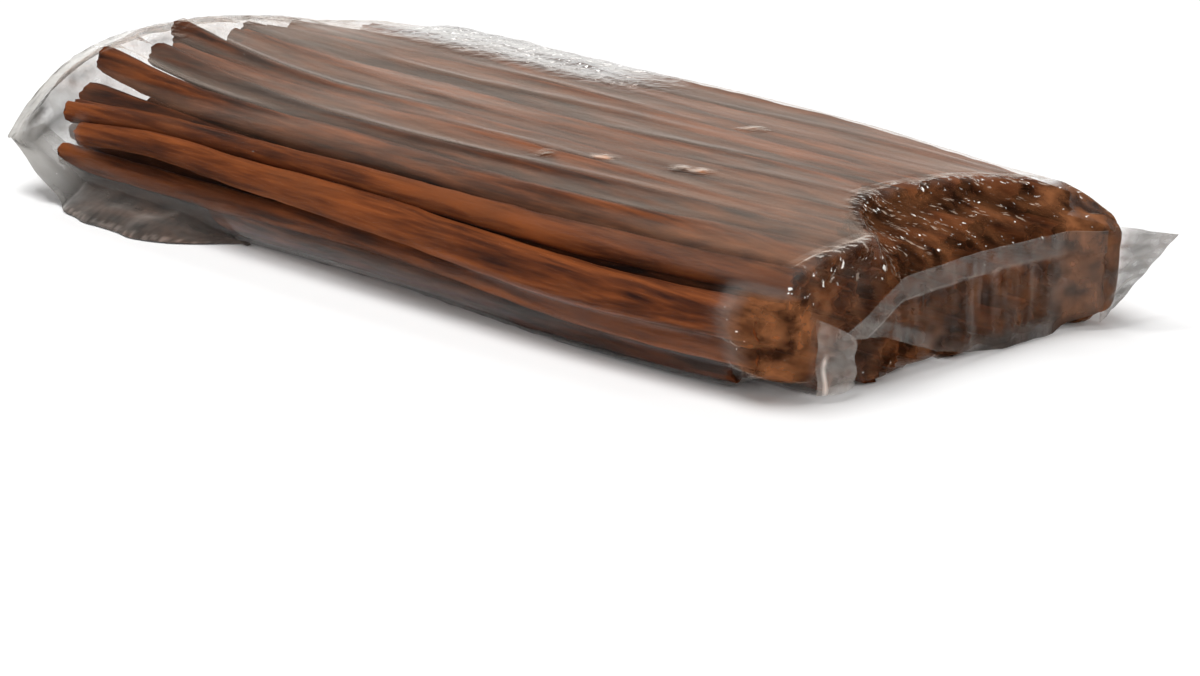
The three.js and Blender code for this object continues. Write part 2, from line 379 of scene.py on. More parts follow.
def barkOutline(kind):  # closed loop of (y, z, inside) round the rolled sheet's two faces
    line = barkCentreLine(kind)
    half = quill["bark"] / 2 / quill["radius"]
    outer, inner = [], []
    for i, point in enumerate(line):
        ahead = line[min(i + 1, len(line) - 1)]
        behind = line[max(i - 1, 0)]
        side = (ahead - behind).normalized()
        normal = Vector((side.y, -side.x))
        thin = half * min(1, 0.45 + 0.25 * min(i, len(line) - 1 - i))  # edges are thinner
        outer.append((*(point + normal * thin), 0.0))
        inner.append((*(point - normal * thin), 1.0))
    return outer + inner[::-1]


def makeQuill(number, kind):
    outline = barkOutline(kind)
    bpy.ops.mesh.primitive_circle_add(vertices=len(outline), radius=quill["radius"],
                                      fill_type="NGON")
    piece = bpy.context.object
    piece.name = "quillKind%d" % number
    for vertex, (y, z, inside) in zip(piece.data.vertices, outline):
        vertex.co = (0, y * quill["radius"], z * quill["radius"])
    newAttribute(piece.data, "insideWall", [inside for y, z, inside in outline])
    bpy.ops.object.mode_set(mode="EDIT")
    bpy.ops.mesh.select_all(action="SELECT")
    stepLength = quill["length"] / quill["steps"]
    girth = 1.0
    for step in range(quill["steps"]):
        share = (step + 1) / quill["steps"]
        x = stepLength * (step + 1)
        bpy.ops.mesh.extrude_region_move(TRANSFORM_OT_translate={"value": (stepLength, 0, 0)})
        bpy.ops.transform.rotate(value=math.radians(kind["twist"]) / quill["steps"]
                                 * (1 + 0.8 * math.sin(9 * share + number)),
                                 orient_axis="X", center_override=(x, 0, 0))
        wanted = 1 + kind["taper"] * (share - 0.5)
        wanted += 0.022 * math.sin(11 * share + 2 * number) + 0.016 * math.sin(23 * share - number)
        bpy.ops.transform.resize(value=(1, wanted / girth, wanted / girth),
                                 center_override=(x, 0, 0))
        girth = wanted
    faceOutwards()
    return piece


def makePathCurve():
    bpy.ops.curve.primitive_bezier_curve_add()
    pathCurve = bpy.context.object
    bpy.ops.object.mode_set(mode="EDIT")
    bpy.ops.curve.select_all(action="SELECT")
    bpy.ops.curve.subdivide(number_cuts=bundle["pathPoints"] - 2)
    bpy.ops.object.mode_set(mode="OBJECT")
    pathCurve.data.twist_mode = "MINIMUM"
    pathCurve.data.resolution_u = 8
    return pathCurve


def layPath(pathCurve, points):
    spline = pathCurve.data.splines[0]
    for knot, point in zip(spline.bezier_points, points):
        knot.handle_left_type = knot.handle_right_type = "AUTO"
        knot.co = point
    bpy.context.view_layer.update()
    return spline.calc_length()


def layStick(kindPiece, pathCurve, points, diameter, index):
    length = layPath(pathCurve, points)
    activate(kindPiece)
    bpy.ops.object.duplicate()
    piece = bpy.context.object
    piece.name = "stick%02d" % index
    roll = math.tau * spread(index, 2)
    flip = spread(index, 9) > 0.5
    thickness = diameter / 2 / quill["radius"] * quill["girth"]
    slant = quill["slant"] * (spread(index, 10) - 0.5)

    def place(point):
        along = point.x / quill["length"]
        if flip:
            along = 1 - along
        y = point.y * math.cos(roll) - point.z * math.sin(roll)
        z = point.y * math.sin(roll) + point.z * math.cos(roll)
        cut = slant * y * (1 if along < 0.5 else -1)
        angle = math.atan2(z, y)
        atEnd = clamp(1 - min(along, 1 - along) * quill["length"] / quill["fray"])
        cut += (quill["chips"] * atEnd * math.sin(3 * angle + 7 * index)
                * math.sin(8 * angle + index))
        girth = thickness * (1 - slimTips.get(index, 0) * (1 - smoothStep(along, 0, 0.45)))
        return Vector((along * length + cut, y * girth, z * girth))

    setPoints(piece.data, place)
    if flip:
        piece.data.flip_normals()
    applyModifier(piece, "CURVE", object=pathCurve, deform_axis="POS_X")
    count = len(piece.data.vertices)
    newAttribute(piece.data, "stickTint", [spread(index, 11)] * count)
    return piece


def makeRod(pathCurve, diameter):  # the plain round form of the stick, for the film to lie on
    activate(pathCurve)
    bpy.ops.object.duplicate()
    rod = bpy.context.object
    rod.data.bevel_depth = diameter / 2
    rod.data.bevel_resolution = 3
    rod.data.use_fill_caps = True
    bpy.ops.object.convert(target="MESH")
    return bpy.context.object


def joinPieces(pieces, name):
    activate(pieces[0])
    for piece in pieces:
        piece.select_set(True)
    bpy.ops.object.join()
    joined = bpy.context.object
    joined.name = joined.data.name = name
    return joined


def makeSticks():
    kindPieces = [makeQuill(number, kind) for number, kind in enumerate(quillKinds)]
    pathCurve = makePathCurve()
    stickLayers, rods = [], []
    index = 0
    for layer in layers:
        sticks = []
        for column in range(layer["count"]):
            points = stickPath(layer, column, index)
            diameter = stickDiameter(layer, column, index)
            kindPiece = kindPieces[int(spread(index, 12) * len(kindPieces))]
            sticks.append(layStick(kindPiece, pathCurve, points, diameter, index))
            rods.append(makeRod(pathCurve, diameter))
            index += 1
        stickLayers.append(joinPieces(sticks, layer["name"]))
    for helper in kindPieces + [pathCurve]:
        bpy.data.objects.remove(helper)
    rods = joinPieces(rods, "rods")
    setPoints(rods.data, lambda point: Vector((point.x * quill["pastEnds"], point.y, point.z)))
    return stickLayers, rods


def roughenBark(piece):
    lumps = bpy.data.textures.new("barkLumps", "CLOUDS")
    lumps.noise_scale = quill["lumpScale"]
    applyModifier(piece, "DISPLACE", texture=lumps, texture_coords="LOCAL",
                  strength=quill["lumps"] * 2, mid_level=0.5)
    grain = bpy.data.textures.new("barkGrain", "CLOUDS")
    grain.noise_scale = quill["grainScale"]
    grain.noise_depth = 3
    applyModifier(piece, "DISPLACE", texture=grain, texture_coords="LOCAL",
                  strength=quill["grain"] * 2, mid_level=0.5)
    bpy.ops.object.shade_smooth_by_angle(angle=math.radians(50))


stickLayers, rods = makeSticks()
for stickLayer in stickLayers:
    roughenBark(stickLayer)
    keepAboveFloor(stickLayer, quill["floorGap"])
print("sticks laid:", sum(len(piece.data.polygons) for piece in stickLayers), "faces")


# the film bag

bag = {
    "cuts": (170, 100, 30),  # along, across and up
    "tailShare": 0.15,  # of the cuts along it, on the tail
    "hover": 0.0004,  # over the sticks, before it is drawn tight
    "underside": 0.0006,
    "floorGap": 0.0002,
    "corner": 0.46,  # how round its section is: 0 square, 1 round
    "farCorner": 0.16,
    "tailCorner": 0.95,
    "mouth": packLow.x + 0.0375,  # X where the film comes off the stick ends
    "before": 0.0028,  # how far it stands in front of the folded end's sticks
    "slopeFrom": 0.038,  # heights between which the folded end slopes
    "slopeTo": 0.050,
    "seam": packLow.x + 0.0006,  # X of the sealed edge, which trails at its two ends
    "trail": 0.022,
    "nearEar": packLow.y + 0.0075,  # Y of these ends
    "farEar": 0.098,
    "seamHeight": 0.0525,  # in the middle
    "earHeight": 0.0235,
    "seamThickness": 0.0007,
    "band": 0.009,  # width that is sealed flat
    "creases": 6,
    "creaseDepth": 0.0011,
    "tension": 0.0007,
    "crinkle": 0.0024,
    "clearance": 0.0008,
    "endClearance": 0.0022,
    "slack": 0.0020,  # height of the loose fold along the far top edge
    "cornerOut": 0.009,  # how far the film stands out at the far corner of the folded end
    "farFall": 0.0030,  # how much lower the film is there
    "tailFall": 0.0035,  # and at the far corner of the tail
    # spots on top, under the film: X, Y and how pale they are; the dark ones are stick tips, the
    # pale ones painted highlights
    "marks": [(0.046, -0.035, 0.3), (0.066, -0.024, 4.0), (0.098, -0.016, 0.7),
              (0.106, -0.014, 2.4), (0.073, 0.047, 2.0)],
}


def rounded(a, b, corner):
    return a * math.sqrt(1 - corner * b * b / 2)


def slackAlong(x):  # where the far top edge has its loose fold
    return smoothStep(x, -0.190, -0.150) * (1 - smoothStep(x, -0.035, 0.015))


def bundleSection(x, b, c):
    halfStick = bundle["thick"] / 2
    near = acrossBundle(upperLayer, 0, x) - halfStick
    far = acrossBundle(upperLayer, 1, x) + halfStick
    crest = topLayer["height"] + halfStick
    y = lerp(near - bag["hover"], far + bag["hover"], (b + 1) / 2)
    top = crest * (1 - edgeDrop(y, near, far)) + tailRise(x, y) + bag["hover"]
    top -= bag["farFall"] * smoothStep(x, 0.130, 0.200) * smoothStep(y, 0.045, 0.085)
    top -= bag["tailFall"] * smoothStep(-x, 0.110, 0.180) * smoothStep(y, 0.030, 0.070)
    top += bag["slack"] * slackAlong(x) * smoothStep(y, 0.060, 0.080)
    return Vector((x, y, lerp(bag["underside"], top, (c + 1) / 2)))


def slopedEnd(y, z):
    height = clamp((z - bag["slopeFrom"]) / (bag["slopeTo"] - bag["slopeFrom"]))
    corner = bag["cornerOut"] * smoothStep(y, 0.068, 0.084) * (1 - height)
    return lerp(bundle["rightEnd"] + corner, foldedEnd(topLayer, y), height) + bag["before"]


def endProfile(c):  # crowds the rows of the folded end into its upper, sloping part
    share = (c + 1) / 2
    moved = share * 1.95 if share < 0.4 else lerp(0.78, 1, (share - 0.4) / 0.6)
    return 2 * moved - 1


def bundlePoint(share, b, c):
    x = lerp(bag["mouth"], bundle["rightEnd"] + bag["before"], share)
    c = lerp(c, endProfile(c), smoothStep(share, 0.8, 1))
    point = bundleSection(x, b, c)
    point.x = lerp(bag["mouth"], slopedEnd(point.y, point.z), share)
    return point


def seamAt(across):
    return bag["seam"] + bag["trail"] * abs(across) ** 1.5


def tailPoint(share, b, c, across):
    mouth = bundleSection(bag["mouth"], b, c)
    bow = 1 - abs(across) ** 3
    seamY = lerp(bag["nearEar"], bag["farEar"], (across + 1) / 2)
    seamZ = lerp(bag["earHeight"], bag["seamHeight"], bow) + c * bag["seamThickness"] / 2
    opened = smoothStep(share, bag["band"] / (bag["mouth"] - bag["seam"]), 1)
    fold = math.sin(math.pi * (bag["creases"] * 2 * share + 0.5 * math.sin(7 * across)))
    crease = bag["creaseDepth"] * fold * math.sin(math.pi * share) * clamp(c, -1, 1)
    return Vector((lerp(seamAt(across), mouth.x, share),
                   lerp(seamY, mouth.y, opened),
                   lerp(seamZ, mouth.z, opened ** 0.8) + crease))


def bagPoint(unit):
    along, across, up = unit.x + 0.5, 2 * unit.y, 2 * unit.z
    corner = lerp(bag["corner"], bag["farCorner"], smoothStep(across, 0, 0.6))
    corner = lerp(bag["tailCorner"], corner, clamp(along / bag["tailShare"]))
    b = rounded(across, up, corner)
    c = rounded(up, across, corner)
    if along > bag["tailShare"]:
        return bundlePoint((along - bag["tailShare"]) / (1 - bag["tailShare"]), b, c)
    return tailPoint(along / bag["tailShare"], b, c, across)


def overSticks(point):
    return smoothStep(point.x, bag["mouth"] - 0.022, bag["mouth"] - 0.014)


def tautOver(point):
    return smoothStep(point.x, bag["mouth"] - 0.010, bag["mouth"] + 0.006)


def pastBend(point):  # the sloping part of the folded end
    return smoothStep(point.x - foldedEnd(topLayer, point.y), -0.003, 0.004)


def atNearCorner(point):  # where the near side meets the folded end
    return (smoothStep(point.x, 0.182, 0.198) * smoothStep(-point.y, 0.055, 0.068)
            * (1 - smoothStep(point.z, 0.038, 0.045)))


def atFarCorner(point):
    return smoothStep(point.x, 0.184, 0.198) * smoothStep(point.y, 0.055, 0.075)


def atFoldedEnd(point):
    return max(pastBend(point), atNearCorner(point), atFarCorner(point))


def atStickEnds(point):  # the upright part of the folded end, where the film needs more room
    return smoothStep(point.x, 0.186, 0.195) * (1 - smoothStep(point.z, 0.040, 0.048))


def alongBend(point):
    return 1 - smoothStep(abs(point.x - foldedEnd(topLayer, point.y) - 0.002), 0.002, 0.008)


def atFarEdge(point):  # slack film along part of the far top edge, made almost white by a painted reflection
    across = smoothStep(point.y, 0.048, 0.070)
    return slackAlong(point.x) * across * smoothStep(point.z, 0.034, 0.044)


def inTail(point):
    return smoothStep(-point.x, 0.176, 0.200)


def pastTips(point):
    return smoothStep(-point.x, 0.196, 0.208)


def onTop(point):
    return smoothStep(point.z, 0.040, 0.047) * (1 - pastBend(point))


def crumpled(point):
    return max(atFoldedEnd(point), inTail(point), atFarEdge(point))


def onLowerFront(point):  # slack film over the lowest sticks of the near side
    nearWall = smoothStep(-point.y, 0.055, 0.068)
    return nearWall * (1 - smoothStep(point.z, 0.016, 0.026))


def nearestMark(point):  # how far away it is, and how pale
    return min(((point.xy - Vector((x, y))).length, pale) for x, y, pale in bag["marks"])


def atMarks(point):
    away = nearestMark(point)[0]
    return (1 - smoothStep(away, 0.001, 0.006)) * smoothStep(point.z, 0.040, 0.046)


def tailCreases(point):  # fine creases beside the sealed edge
    across = 2 * clamp((point.y - bag["nearEar"]) / (bag["farEar"] - bag["nearEar"])) - 1
    seamX = seamAt(across)
    share = (point.x - seamX) / (bag["mouth"] - seamX)
    wave = bag["creases"] * share + 0.3 * noise.noise(Vector((60 * point.y, 10 * share, 0)))
    strength = 0.7 + 1.4 * noise.noise(Vector((90 * point.y, 4 * share, 5)))
    return (1 - abs(math.sin(math.pi * wave))) ** 3 * clamp(strength) * pastTips(point)


bagHaze = {
    "clear": 0.004,
    "topNear": 0.10,
    "topFar": 0.12,
    "topFolded": 0.20,  # painted sheen: haze that the near side of the top gains towards the folded end
    "tailNear": 0.70,
    "tailFar": 0.26,
    "tailCreases": 0.40,
    "farEdge": 0.36,
    "marks": 0.75,
    "lowerFront": 0.09,
    "pastBend": 0.40,
    "nearCorner": 0.66,
    "farCorner": 0.86,
}


def filmHaze(point, gap):  # gap is 1 where the film lies clear of the sticks below
    top = lerp(bagHaze["topNear"], bagHaze["topFar"], smoothStep(point.y, -0.05, 0.08))
    nearFoldSheen = smoothStep(point.x, 0.060, 0.160) * (1 - smoothStep(point.y, -0.030, 0.020))
    top = top * (0.7 + 0.6 * gap) + bagHaze["topFolded"] * nearFoldSheen
    tail = lerp(bagHaze["tailNear"], bagHaze["tailFar"], smoothStep(point.y, -0.090, -0.020))
    tail += bagHaze["tailCreases"] * tailCreases(point)
    return max(bagHaze["clear"],
               top * onTop(point),
               tail * pastTips(point),
               bagHaze["farEdge"] * atFarEdge(point),
               bagHaze["marks"] * atMarks(point),
               bagHaze["lowerFront"] * onLowerFront(point),
               bagHaze["pastBend"] * pastBend(point),
               bagHaze["nearCorner"] * atNearCorner(point),
               bagHaze["farCorner"] * atFarCorner(point))


bagShade = {
    "tailNear": 2.1,
    "tailFar": 3.4,
    # painted shade: the fine creases of the tail are darker
    "tailCreases": -2.2,
    # painted light: the haze on the top is paler
    "top": 0.35,
    "nearEnd": 0.65,
    "farCorner": 0.2,
    # painted reflection: the slack film along the far edge is almost white
    "farEdge": 3.2,
}


def filmShade(point):  # how pale the haze is
    tail = lerp(bagShade["tailNear"], bagShade["tailFar"], smoothStep(point.y, -0.090, -0.020))
    tail += bagShade["tailCreases"] * tailCreases(point)
    nearEnd = smoothStep(-point.y, 0.045, 0.060) * atFoldedEnd(point)
    bulk = (1 + bagShade["top"] * onTop(point) + bagShade["nearEnd"] * nearEnd
            + bagShade["farCorner"] * atFarCorner(point))
    # the pale spots are painted highlights, the dark ones stick tips
    bulk = lerp(bulk, nearestMark(point)[1], atMarks(point))
    return max(lerp(bulk, tail, pastTips(point)),
               lerp(bulk, bagShade["farEdge"], atFarEdge(point)))


def filmWarmth(point):  # how much of the haze and the shine is bark seen through the film
    top = 0.85 * onTop(point) * (1 - atFarEdge(point)) * (1 - pastTips(point))
    return max(atFoldedEnd(point), atMarks(point), top)


bagGleam = {
    "smooth": -0.045,
    "top": -0.010,
    "foldedEnd": -0.420,
    "tail": -0.030,
    "farEdge": 0.220,
}


def filmGleam(point):  # what slack film shines more, and smooth film less
    smooth = (bagGleam["smooth"] + bagGleam["top"] * onTop(point)
              + bagGleam["foldedEnd"] * atFoldedEnd(point))
    return max(smooth, lerp(smooth, bagGleam["tail"], pastTips(point)),
               lerp(smooth, bagGleam["farEdge"], atFarEdge(point)))


def behindFlap(point):
    return smoothStep(point.x, 0.196, 0.204) * (1 - smoothStep(point.z, 0.030, 0.038))


def filmCrumple(point):
    return (crumpled(point) * (1 - 0.5 * inTail(point)) * (1 - 0.7 * behindFlap(point))
            + 0.5 * alongBend(point) * smoothStep(point.z, 0.034, 0.044))


def wrinkle(piece, name, kind, scale, stretch, strength, group=""):
    texture = bpy.data.textures.new(name, kind)
    texture.noise_scale = scale
    bpy.ops.object.empty_add()
    holder = bpy.context.object
    holder.scale = stretch
    bpy.context.view_layer.update()
    applyModifier(piece, "DISPLACE", texture=texture, texture_coords="OBJECT",
                  texture_coords_object=holder, strength=strength, mid_level=0.5,
                  vertex_group=group)
    bpy.data.objects.remove(holder)


def gapUnder(point, rods):
    nearest = rods.closest_point_on_mesh(point)[1]
    return smoothStep((point - nearest).length, 0.0012, 0.0040)


def setFilm(piece, **looks):  # one attribute for each look, from a function of the vertex
    for name, lookAt in looks.items():
        newAttribute(piece.data, name, [lookAt(vertex.co) for vertex in piece.data.vertices])


def wrapOver(piece, rods, clearance, group="overSticks"):
    applyModifier(piece, "SHRINKWRAP", target=rods, wrap_method="NEAREST_SURFACEPOINT",
                  wrap_mode="OUTSIDE", offset=clearance, vertex_group=group)


def makeBag():
    bpy.ops.mesh.primitive_cube_add(size=1)
    piece = bpy.context.object
    piece.name = piece.data.name = "filmBag"
    for axis, cuts in enumerate(bag["cuts"]):
        cutEdgesAlong(piece, axis, cuts)
    setPoints(piece.data, bagPoint)
    weigh(piece, "overSticks", overSticks)
    weigh(piece, "taut", tautOver)
    weigh(piece, "crumpled", filmCrumple)
    weigh(piece, "stickEnds", atStickEnds)
    for smoothing in (14, 10):
        wrapOver(piece, rods, bag["clearance"])
        applyModifier(piece, "SMOOTH", factor=0.5, iterations=smoothing, vertex_group="taut")
    wrinkle(piece, "tensionLines", "CLOUDS", 0.25, (0.36, 0.045, 0.045),
            bag["tension"])
    wrinkle(piece, "crinkles", "VORONOI", 0.25, (0.050, 0.050, 0.050),
            bag["crinkle"], "crumpled")
    wrapOver(piece, rods, bag["clearance"])
    applyModifier(piece, "SMOOTH", factor=0.5, iterations=2, vertex_group="taut")
    wrapOver(piece, rods, bag["clearance"])
    wrapOver(piece, rods, bag["endClearance"], "stickEnds")
    keepAboveFloor(piece, bag["floorGap"])
    setFilm(piece, haze=lambda point: filmHaze(point, gapUnder(point, rods)), shade=filmShade,
            warmth=filmWarmth, gleam=filmGleam,
            crumple=lambda point: filmCrumple(point) + 0.4 * atMarks(point))
    bpy.ops.object.shade_smooth()
    return piece


filmBag = makeBag()
bpy.data.objects.remove(rods)
print("bag made:", len(filmBag.data.polygons), "faces")


# the folded flap and the loose corners

sheetThickness = 0.0003
sheetCrumple = 0.02
flap = {
    "cuts": (300, 36),
    "face": 0.2146,
    "near": -0.0535,
    "far": 0.0755,
    "hem": 0.0080,
    "hemOut": 0.0009,  # the hem is double, so it stands out
    "pleatDepth": 0.0003,
    "ripple": 0.0002,
    "cornerOut": 0.0085,
    "gleam": -0.032,
    # top and bottom edge, by Y
    "top": [(-0.0535, 0.0220), (-0.040, 0.0280), (-0.0233, 0.0375), (0.016, 0.0392),
            (0.0755, 0.0375)],
    "bottom": [(-0.0535, 0.0212), (-0.0320, 0.0178), (-0.0050, 0.0070), (0.0120, 0.0032),
               (0.0300, 0.0006), (0.0580, 0.0006), (0.0755, 0.0080)],
}


def alongLine(line, place):
    for (start, low), (end, high) in zip(line, line[1:]):
        if place <= end:
            return lerp(low, high, clamp((place - start) / (end - start)))
    return line[-1][1]


def pleatAt(across):  # uneven upright pleats, -1 to 1
    wave = math.sin(math.tau * (9.5 * across + 0.4 * math.sin(9 * across)))
    return wave * (0.6 + 0.4 * math.sin(23 * across + 2))


def creaseAt(across):  # sharp upright creases, 0 to 1
    line = 1 - abs(math.sin(math.pi * (8 * across + 0.35 * math.sin(11 * across))))
    return line ** 24 * (0.6 + 0.4 * math.sin(17 * across))


def makeSheet(name, settings, place, **looks):  # functions of x and y in a unit square
    cuts = settings["cuts"]
    bpy.ops.mesh.primitive_grid_add(x_subdivisions=cuts[0], y_subdivisions=cuts[1], size=1)
    piece = bpy.context.object
    piece.name = piece.data.name = name

    def inSquare(look):
        return lambda point: look(point.x + 0.5, point.y + 0.5)

    setFilm(piece, gleam=lambda point: settings["gleam"], crumple=lambda point: sheetCrumple,
            **{lookName: inSquare(look) for lookName, look in looks.items()})
    setPoints(piece.data, inSquare(place))
    applyModifier(piece, "SOLIDIFY", thickness=sheetThickness, offset=0)
    faceOutwards()
    bpy.ops.object.shade_smooth_by_angle(angle=math.radians(60))
    return piece


def flapPoint(across, up):
    y = lerp(flap["near"], flap["far"], across)
    top = alongLine(flap["top"], y)
    z = lerp(alongLine(flap["bottom"], y), top, up)
    hemmed = smoothStep(z, top - flap["hem"] - 0.0008, top - flap["hem"])
    x = flap["face"] + flap["pleatDepth"] * pleatAt(across) * (1 - 0.6 * hemmed)
    x += flap["hemOut"] * hemmed + flap["ripple"] * math.sin(40 * across + 5 * up)
    x += flap["cornerOut"] * smoothStep(y, 0.062, 0.0755)
    return Vector((x, y, z))


def threadsAt(across, up):  # fine upright threads of haze
    return clamp(0.1 + 1.8 * noise.noise(Vector((70 * across, 1.5 * up, 3)))
                 + 1.2 * noise.noise(Vector((150 * across, 3 * up, 8))))


def overCorner(across):  # where the flap lies over the far corner of the pack
    return smoothStep(across, 0.84, 0.91)


def inHem(across, up):
    y = lerp(flap["near"], flap["far"], across)
    hemLine = alongLine(flap["top"], y) - flap["hem"]
    return smoothStep(flapPoint(across, up).z, hemLine - 0.0006, hemLine)


def turnedUp(across, up):  # the lower edge is folded up where it slopes
    y = lerp(flap["near"], flap["far"], across)
    height = flapPoint(across, up).z - alongLine(flap["bottom"], y)
    return (1 - smoothStep(height, 0.0055, 0.0062)) * (1 - smoothStep(y, -0.012, -0.004))


def flapHaze(across, up):
    # painted shade: a thick dark haze at its foot
    shadedFoot = 1 - smoothStep(flapPoint(across, up).z, 0.002, 0.009)
    return (0.030 + 0.14 * inHem(across, up) + 0.12 * turnedUp(across, up) + 0.60 * shadedFoot
            + 0.09 * threadsAt(across, up) + 0.06 * creaseAt(across)
            + 0.55 * overCorner(across))


def flapShade(across, up):
    # painted shade: darker towards its foot by the floor
    return lerp(0.35, 1.15, smoothStep(flapPoint(across, up).z, 0.002, 0.011))


def flapWarmth(across, up):
    warmth = 0.45 - 0.35 * max(inHem(across, up), turnedUp(across, up))
    return lerp(warmth, 0.8, overCorner(across))


farEar = {
    "cuts": (40, 40),
    "rootHigh": (0.2230, 0.0745, 0.0395),
    "rootLow": (0.2225, 0.0745, 0.0030),
    "tip": (0.2327, 0.1050, 0.0325),
    "foot": (0.2245, 0.0800, 0.0080),
    "fan": 7,  # folds that fan out from its root
    "depth": 0.0010,
    "sideways": (0.72, -0.70, 0),
    "gleam": -0.016,
}


def farEarPoint(out, up):
    root = Vector(farEar["rootLow"]).lerp(Vector(farEar["rootHigh"]), up)
    rim = Vector(farEar["foot"]).lerp(Vector(farEar["tip"]), up ** 0.8)
    point = root.lerp(rim, out)
    fold = math.sin(math.pi * farEar["fan"] * (up + 0.08 * math.sin(6 * out)))
    deepest = Vector(farEar["sideways"]) * farEar["depth"]
    return point + deepest * fold * math.sin(math.pi * out * 0.8)


def farEarHaze(out, up):
    ridge = abs(math.sin(math.pi * farEar["fan"] * up)) ** 4
    return lerp(0.10, 0.55, smoothStep(out, 0.10, 0.60)) + 0.12 * ridge


def farEarShade(out, up):
    return lerp(0.9, 1.25, smoothStep(out, 0.20, 0.70)) * lerp(0.75, 1.0, up)


def farEarWarmth(out, up):
    return lerp(0.9, 0.12, smoothStep(out, 0.20, 0.50))


nearEar = {
    "cuts": (14, 30),
    "near": -0.0635,
    "far": -0.0465,
    "bottom": 0.0030,
    "topNear": 0.0300,
    "topFar": 0.0205,
    "face": 0.2150,
    "bulge": 0.0016,
    "turnedIn": 0.0022,
    "ripple": 0.0006,
    "gleam": -0.016,
}


def nearEarPoint(across, up):
    y = lerp(nearEar["near"], nearEar["far"], across)
    z = lerp(nearEar["bottom"], lerp(nearEar["topNear"], nearEar["topFar"], across), up)
    x = nearEar["face"] + nearEar["bulge"] * math.sin(math.pi * across)
    x -= nearEar["turnedIn"] * (1 - across) ** 3
    return Vector((x + nearEar["ripple"] * math.sin(12 * up + 4 * across), y, z))


def nearEarHighlight(across, up):  # a painted highlight: a narrow bright band down its lower part
    band = smoothStep(across, 0.09, 0.13) * (1 - smoothStep(across, 0.15, 0.20))
    return band * (1 - smoothStep(up, 0.45, 0.60))


def nearEarHaze(across, up):
    cloudy = 0.10 * noise.noise(Vector((9 * across, 9 * up, 2)))
    return lerp(0.24, 0.14, up) + cloudy + 0.45 * nearEarHighlight(across, up)


def nearEarShade(across, up):
    # the band is a painted highlight, far paler than the rest
    return 2.1 + 1.5 * nearEarHighlight(across, up)


def nearEarWarmth(across, up):
    return 0.3


skirt = {
    "cuts": (110, 26),
    "from": -0.2110,
    "floorFrom": -0.1740,
    "to": -0.0780,
    "taper": 0.034,
    "out": -0.1040,
    "inner": -0.0790,
    "height": 0.012,
    "lowest": 0.0006,
    "drawnIn": 0.0075,  # how much narrower it is by the tail
    "wander": 0.0030,
    "ripple": 0.0016,
    "gleam": -0.040,
}


def skirtPoint(along, inward):
    x = lerp(skirt["from"], skirt["to"], along)
    aboveFloor = clamp((skirt["floorFrom"] - x) / (skirt["floorFrom"] - skirt["from"]))
    taper = smoothStep(skirt["to"] - x, 0, skirt["taper"])
    low = bag["earHeight"] * aboveFloor + skirt["lowest"]
    drawnIn = skirt["drawnIn"] * (1 - smoothStep(x, -0.190, -0.145))
    out = lerp(skirt["inner"], skirt["out"] + drawnIn, taper)
    out += skirt["wander"] * noise.noise(Vector((70 * x, 0, 4))) * (1 - aboveFloor)
    y = lerp(out, skirt["inner"], inward)
    rise = skirt["height"] * taper * (1 - 0.85 * aboveFloor) * inward ** 0.8
    fold = skirt["ripple"] * noise.noise(Vector((55 * x, 3 * inward, 9)))
    z = low + rise + fold * math.sin(math.pi * inward)
    return Vector((x, y, max(skirt["lowest"], z)))


def skirtHaze(along, inward):
    # thick haze, dark with painted shade, so that little of the floor shows through
    inTheTail = 1 - smoothStep(along, 0.15, 0.35)
    return lerp(lerp(0.90, 0.72, inTheTail), 0.50, smoothStep(inward, 0.35, 0.85))


def skirtWarmth(along, inward):
    return 0.45 * smoothStep(along, 0.20, 0.45)


def skirtShade(along, inward):  # painted shade keeps it dark, brightest on its crinkled rim and in the tail
    specks = noise.noise(Vector((60 * along, 9 * inward, 6)))
    rim = (1 - smoothStep(inward, 0.04, 0.18)) * clamp(0.5 + 1.6 * specks)
    tail = 1.5 * (1 - smoothStep(along, 0.05, 0.38))
    return max(0.38 + 0.14 * specks, rim, tail)


sheets = [
    makeSheet("looseSkirt", skirt, skirtPoint,
              haze=skirtHaze, shade=skirtShade, warmth=skirtWarmth),
    makeSheet("foldedFlap", flap, flapPoint,
              haze=flapHaze, shade=flapShade, warmth=flapWarmth),
    makeSheet("farEar", farEar, farEarPoint,
              haze=farEarHaze, shade=farEarShade, warmth=farEarWarmth),
    makeSheet("nearEar", nearEar, nearEarPoint,
              haze=nearEarHaze, shade=nearEarShade, warmth=nearEarWarmth),
]
print("flap and corners made")


# materials

def newMaterial(name):
    material = bpy.data.materials.new(name)
    material.use_nodes = True
    return material, material.node_tree, material.node_tree.nodes["Principled BSDF"]


def feed(tree, node, inputs):  # each value is a number, a colour or another node's output
    for name, value in inputs.items():
        if isinstance(value, bpy.types.NodeSocket):
            tree.links.new(value, node.inputs[name])
        else:
            node.inputs[name].default_value = value


def addNode(tree, kind, output, inputs=None, **settings):
    node = tree.nodes.new("ShaderNode" + kind)
    for name, value in settings.items():
        setattr(node, name, value)
    feed(tree, node, inputs or {})
    return node.outputs[output]


def addMath(tree, operation, *values, **settings):
    return addNode(tree, "Math", "Value", dict(enumerate(values)), operation=operation, **settings)


def addNoise(tree, place, scale, detail, roughness=0.5):
    stretched = addNode(tree, "Mapping", "Vector", {"Vector": place, "Scale": scale})
    return addNode(tree, "TexNoise", "Fac", {"Vector": stretched, "Scale": 1.0,
                                             "Detail": detail, "Roughness": roughness})


def addRamp(tree, value, stops):
    ramp = tree.nodes.new("ShaderNodeValToRGB")
    for i, (position, colour) in enumerate(stops):
        element = ramp.color_ramp.elements[i] if i < 2 else ramp.color_ramp.elements.new(position)
        element.position = position
        element.color = (*colour, 1)
    feed(tree, ramp, {"Fac": value})
    return ramp.outputs["Color"]


